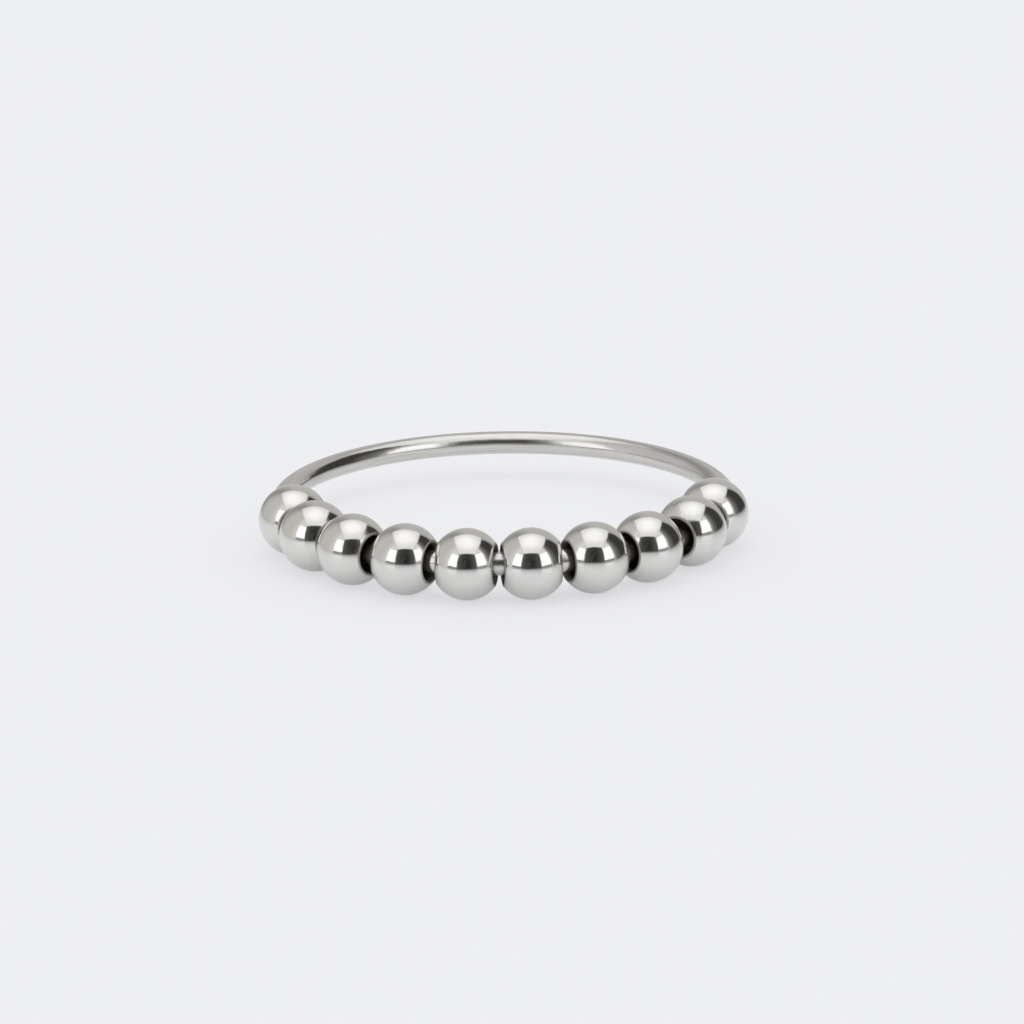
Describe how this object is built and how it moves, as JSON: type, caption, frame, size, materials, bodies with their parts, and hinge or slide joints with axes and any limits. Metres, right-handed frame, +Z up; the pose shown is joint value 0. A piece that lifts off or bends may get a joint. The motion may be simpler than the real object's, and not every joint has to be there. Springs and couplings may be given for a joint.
{
  "type": "spinner ring",
  "caption": "Slim finger ring of round polished wire with a row of loose drilled round beads along its front that spin on the wire.",
  "frame": {"origin": "centre of the finger hole, level with the middle of the wire", "axes": "+Z up, along the finger, with the ring lying on its side; the row of beads faces -Y; +X is the viewer's right"},
  "size_m": [0.0208, 0.0211, 0.003],
  "materials": {
    "wire_steel": "polished steel wire with faint drawing marks along it",
    "bead_steel": "mirror polished steel"
  },
  "bodies": {
    "band": {"band": "wire_steel"},
    "bead_01": {"bead_01": "bead_steel"},
    "bead_02": {"bead_02": "bead_steel"},
    "bead_03": {"bead_03": "bead_steel"},
    "bead_04": {"bead_04": "bead_steel"},
    "bead_05": {"bead_05": "bead_steel"},
    "bead_06": {"bead_06": "bead_steel"},
    "bead_07": {"bead_07": "bead_steel"},
    "bead_08": {"bead_08": "bead_steel"},
    "bead_09": {"bead_09": "bead_steel"},
    "bead_10": {"bead_10": "bead_steel"}
  },
  "joints": [
    {"name": "bead_01_spin", "type": "hinge", "parent": "band", "child": "bead_01", "pos_m": [-0.00889, -0.00242, 0], "axis": [0.2192, -0.9757, 0], "continuous": true},
    {"name": "bead_02_spin", "type": "hinge", "parent": "band", "child": "bead_02", "pos_m": [-0.00795, -0.00492, 0], "axis": [0.6553, -0.7553, 0], "continuous": true},
    {"name": "bead_03_spin", "type": "hinge", "parent": "band", "child": "bead_03", "pos_m": [-0.00633, -0.00703, 0], "axis": [0.7432, -0.6691, 0], "continuous": true},
    {"name": "bead_04_spin", "type": "hinge", "parent": "band", "child": "bead_04", "pos_m": [-0.00412, -0.00862, 0], "axis": [0.9023, -0.431, 0], "continuous": true},
    {"name": "bead_05_spin", "type": "hinge", "parent": "band", "child": "bead_05", "pos_m": [-0.00157, -0.00949, 0], "axis": [0.9866, -0.1635, 0], "continuous": true},
    {"name": "bead_06_spin", "type": "hinge", "parent": "band", "child": "bead_06", "pos_m": [0.00108, -0.00955, 0], "axis": [0.9936, 0.1126, 0], "continuous": true},
    {"name": "bead_07_spin", "type": "hinge", "parent": "band", "child": "bead_07", "pos_m": [0.00369, -0.00881, 0], "axis": [0.9224, 0.3864, 0], "continuous": true},
    {"name": "bead_08_spin", "type": "hinge", "parent": "band", "child": "bead_08", "pos_m": [0.00595, -0.00735, 0], "axis": [0.7772, 0.6293, 0], "continuous": true},
    {"name": "bead_09_spin", "type": "hinge", "parent": "band", "child": "bead_09", "pos_m": [0.00786, -0.00506, 0], "axis": [0.5417, 0.8405, 0], "continuous": true},
    {"name": "bead_10_spin", "type": "hinge", "parent": "band", "child": "bead_10", "pos_m": [0.00889, -0.00242, 0], "axis": [0.2629, 0.9648, 0], "continuous": true}
  ]
}
